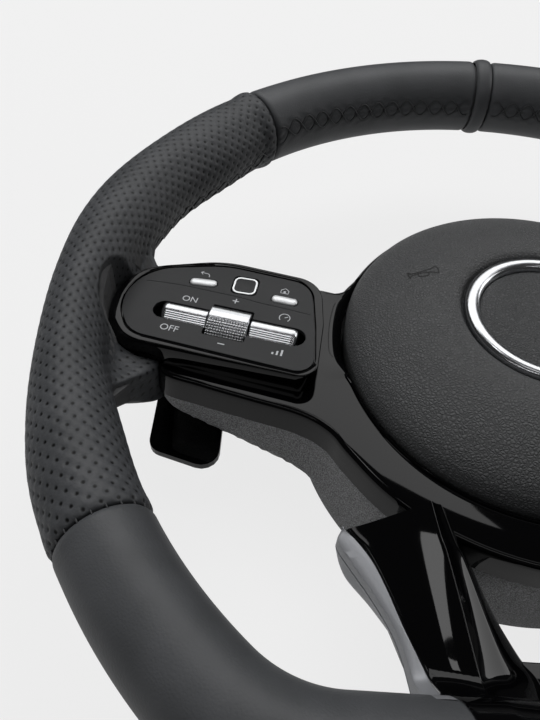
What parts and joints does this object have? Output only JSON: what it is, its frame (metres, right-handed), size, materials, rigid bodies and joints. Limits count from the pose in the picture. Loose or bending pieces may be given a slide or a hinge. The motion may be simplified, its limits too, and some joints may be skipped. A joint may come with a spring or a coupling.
{
  "type": "car steering wheel",
  "caption": "Flat-bottomed steering wheel with a leather-wrapped rim, perforated grips, switch pods, shift paddles and a round airbag cover that sounds the horn.",
  "frame": {"origin": "on the steering axis, at the rear face of the hub boss, which is the face that the wheel lies on", "axes": "+Z along the steering axis towards the driver, +Y towards twelve o'clock, +X to the driver's right"},
  "size_m": [0.3682, 0.3423, 0.0891],
  "materials": {
    "leather_smooth": "smooth black nappa",
    "leather_grip": "perforated black leather",
    "gloss_black": "piano black",
    "satin_black": "satin soft-feel paint",
    "moulded_grey": "fine grained moulding",
    "cover_skin": "leather-grained moulding",
    "silver_trim": "satin chrome",
    "cast_metal": "die cast",
    "steel": "zinc plated",
    "foam": "moulded polyurethane skin",
    "airbag_fabric": "folded and packed",
    "circuit_board": "solder mask"
  },
  "bodies": {
    "wheel": {"armature": "cast_metal", "rim_core": "steel", "rim_foam": "foam", "leather_top_left": "leather_smooth", "leather_top_right": "leather_smooth", "grip_left": "leather_grip", "grip_right": "leather_grip", "leather_bottom": "leather_smooth", "marker_ring": "leather_smooth", "front_shroud": "gloss_black", "lower_spoke_trim": "gloss_black", "lower_accent_left": "silver_trim", "lower_accent_right": "silver_trim", "lower_spoke_back": "moulded_grey", "rear_cover": "moulded_grey", "rear_cover_screws": "steel", "horn_springs": "steel", "pod_frame_left": "gloss_black", "pod_frame_right": "gloss_black", "pod_fascia_left": "satin_black", "pod_fascia_right": "satin_black", "pod_board_left": "circuit_board", "pod_board_right": "circuit_board", "rocker_pin_left": "steel", "rocker_pin_right": "steel", "paddle_bracket_left": "moulded_grey", "paddle_bracket_right": "moulded_grey", "paddle_pin_left": "steel", "paddle_pin_right": "steel"},
    "airbag_module": {"airbag_cover": "cover_skin", "badge_ring": "silver_trim", "badge_disc": "satin_black", "airbag_tray": "steel", "inflator": "cast_metal", "airbag_pack": "airbag_fabric", "guide_pins": "steel"},
    "outer_rocker_left": {"outer_rocker_left": "silver_trim"},
    "knurled_rocker_left": {"knurled_rocker_left": "silver_trim"},
    "inner_rocker_left": {"inner_rocker_left": "silver_trim"},
    "back_button_left": {"back_button_left": "silver_trim"},
    "home_button_left": {"home_button_left": "silver_trim"},
    "touch_pad_left": {"touch_pad_left": "satin_black"},
    "paddle_left": {"paddle_left": "gloss_black"},
    "outer_rocker_right": {"outer_rocker_right": "silver_trim"},
    "knurled_rocker_right": {"knurled_rocker_right": "silver_trim"},
    "inner_rocker_right": {"inner_rocker_right": "silver_trim"},
    "back_button_right": {"back_button_right": "silver_trim"},
    "home_button_right": {"home_button_right": "silver_trim"},
    "touch_pad_right": {"touch_pad_right": "satin_black"},
    "paddle_right": {"paddle_right": "gloss_black"}
  },
  "joints": [
    {"name": "horn_press", "type": "slide", "parent": "wheel", "child": "airbag_module", "axis": [0, 0, -1], "range_m": [0, 0.0015], "stiffness_N_per_m": 10000, "springref_m": -0.003, "deforming": ["horn_springs"]},
    {"name": "outer_rocker_tilt_left", "type": "hinge", "parent": "wheel", "child": "outer_rocker_left", "pos_m": [-0.1168, -0.0039, 0.0605], "axis": [0.9792, -0.2028, 0], "range_deg": [-6, 6], "stiffness_Nm_per_rad": 0.2},
    {"name": "knurled_rocker_tilt_left", "type": "hinge", "parent": "wheel", "child": "knurled_rocker_left", "pos_m": [-0.1168, -0.0039, 0.0605], "axis": [0.9792, -0.2028, 0], "range_deg": [-6, 6], "stiffness_Nm_per_rad": 0.2},
    {"name": "inner_rocker_tilt_left", "type": "hinge", "parent": "wheel", "child": "inner_rocker_left", "pos_m": [-0.1168, -0.0039, 0.0605], "axis": [0.9792, -0.2028, 0], "range_deg": [-6, 6], "stiffness_Nm_per_rad": 0.2},
    {"name": "back_button_press_left", "type": "slide", "parent": "wheel", "child": "back_button_left", "axis": [0, 0, -1], "range_m": [0, 0.0009], "stiffness_N_per_m": 1500, "springref_m": -0.0006},
    {"name": "home_button_press_left", "type": "slide", "parent": "wheel", "child": "home_button_left", "axis": [0, 0, -1], "range_m": [0, 0.0009], "stiffness_N_per_m": 1500, "springref_m": -0.0006},
    {"name": "touch_pad_press_left", "type": "slide", "parent": "wheel", "child": "touch_pad_left", "axis": [0, 0, -1], "range_m": [0, 0.0009], "stiffness_N_per_m": 1500, "springref_m": -0.0006},
    {"name": "paddle_pull_left", "type": "hinge", "parent": "wheel", "child": "paddle_left", "pos_m": [-0.0955, 0, 0.013], "axis": [0, 1, 0], "range_deg": [0, 5], "stiffness_Nm_per_rad": 2, "springref_deg": -5.16},
    {"name": "outer_rocker_tilt_right", "type": "hinge", "parent": "wheel", "child": "outer_rocker_right", "pos_m": [0.1168, -0.0039, 0.0605], "axis": [-0.9792, -0.2028, 0], "range_deg": [-6, 6], "stiffness_Nm_per_rad": 0.2},
    {"name": "knurled_rocker_tilt_right", "type": "hinge", "parent": "wheel", "child": "knurled_rocker_right", "pos_m": [0.1168, -0.0039, 0.0605], "axis": [-0.9792, -0.2028, 0], "range_deg": [-6, 6], "stiffness_Nm_per_rad": 0.2},
    {"name": "inner_rocker_tilt_right", "type": "hinge", "parent": "wheel", "child": "inner_rocker_right", "pos_m": [0.1168, -0.0039, 0.0605], "axis": [-0.9792, -0.2028, 0], "range_deg": [-6, 6], "stiffness_Nm_per_rad": 0.2},
    {"name": "back_button_press_right", "type": "slide", "parent": "wheel", "child": "back_button_right", "axis": [0, 0, -1], "range_m": [0, 0.0009], "stiffness_N_per_m": 1500, "springref_m": -0.0006},
    {"name": "home_button_press_right", "type": "slide", "parent": "wheel", "child": "home_button_right", "axis": [0, 0, -1], "range_m": [0, 0.0009], "stiffness_N_per_m": 1500, "springref_m": -0.0006},
    {"name": "touch_pad_press_right", "type": "slide", "parent": "wheel", "child": "touch_pad_right", "axis": [0, 0, -1], "range_m": [0, 0.0009], "stiffness_N_per_m": 1500, "springref_m": -0.0006},
    {"name": "paddle_pull_right", "type": "hinge", "parent": "wheel", "child": "paddle_right", "pos_m": [0.0955, 0, 0.013], "axis": [0, -1, 0], "range_deg": [0, 5], "stiffness_Nm_per_rad": 2, "springref_deg": -5.16}
  ]
}
